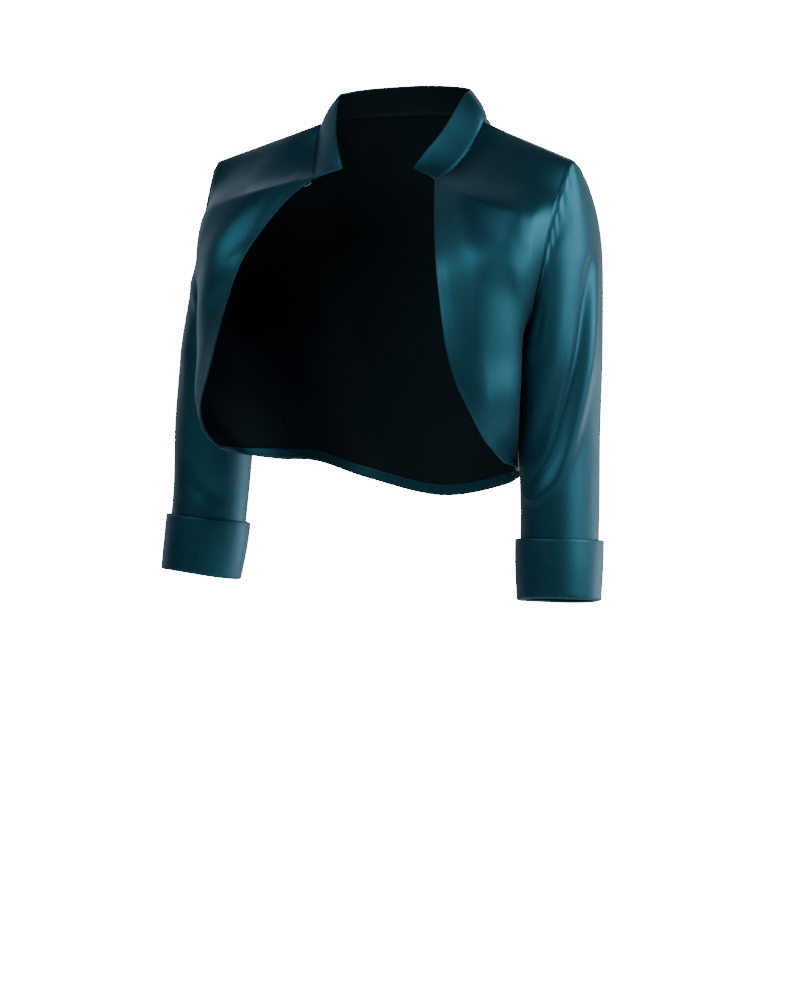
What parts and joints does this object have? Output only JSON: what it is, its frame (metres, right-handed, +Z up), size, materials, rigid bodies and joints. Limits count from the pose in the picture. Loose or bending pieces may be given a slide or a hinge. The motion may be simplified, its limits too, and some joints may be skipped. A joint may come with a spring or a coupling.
{
  "type": "bolero jacket",
  "caption": "Cropped open-front satin bolero with a stand collar, set-in three-quarter sleeves and wide turned-back cuffs, hollow as worn.",
  "frame": {"origin": "middle of the neck, level with the neck ends of the two shoulder seams", "axes": "+Z up, -Y out of the front of the jacket, +X to the wearer's left"},
  "size_m": [0.4754, 0.2231, 0.4836],
  "materials": {
    "satin": "deep teal duchess satin, soft sheen",
    "thread": "pale matt buttonhole thread",
    "hook_metal": "dull bent wire"
  },
  "bodies": {
    "root": {"back": "satin", "left_front": "satin", "right_front": "satin", "collar": "satin", "left_sleeve": "satin", "right_sleeve": "satin", "left_cuff": "satin", "right_cuff": "satin", "back_hem_facing": "satin", "left_front_facing": "satin", "right_front_facing": "satin", "neck_loop": "thread", "neck_hook": "hook_metal"}
  },
  "joints": []
}
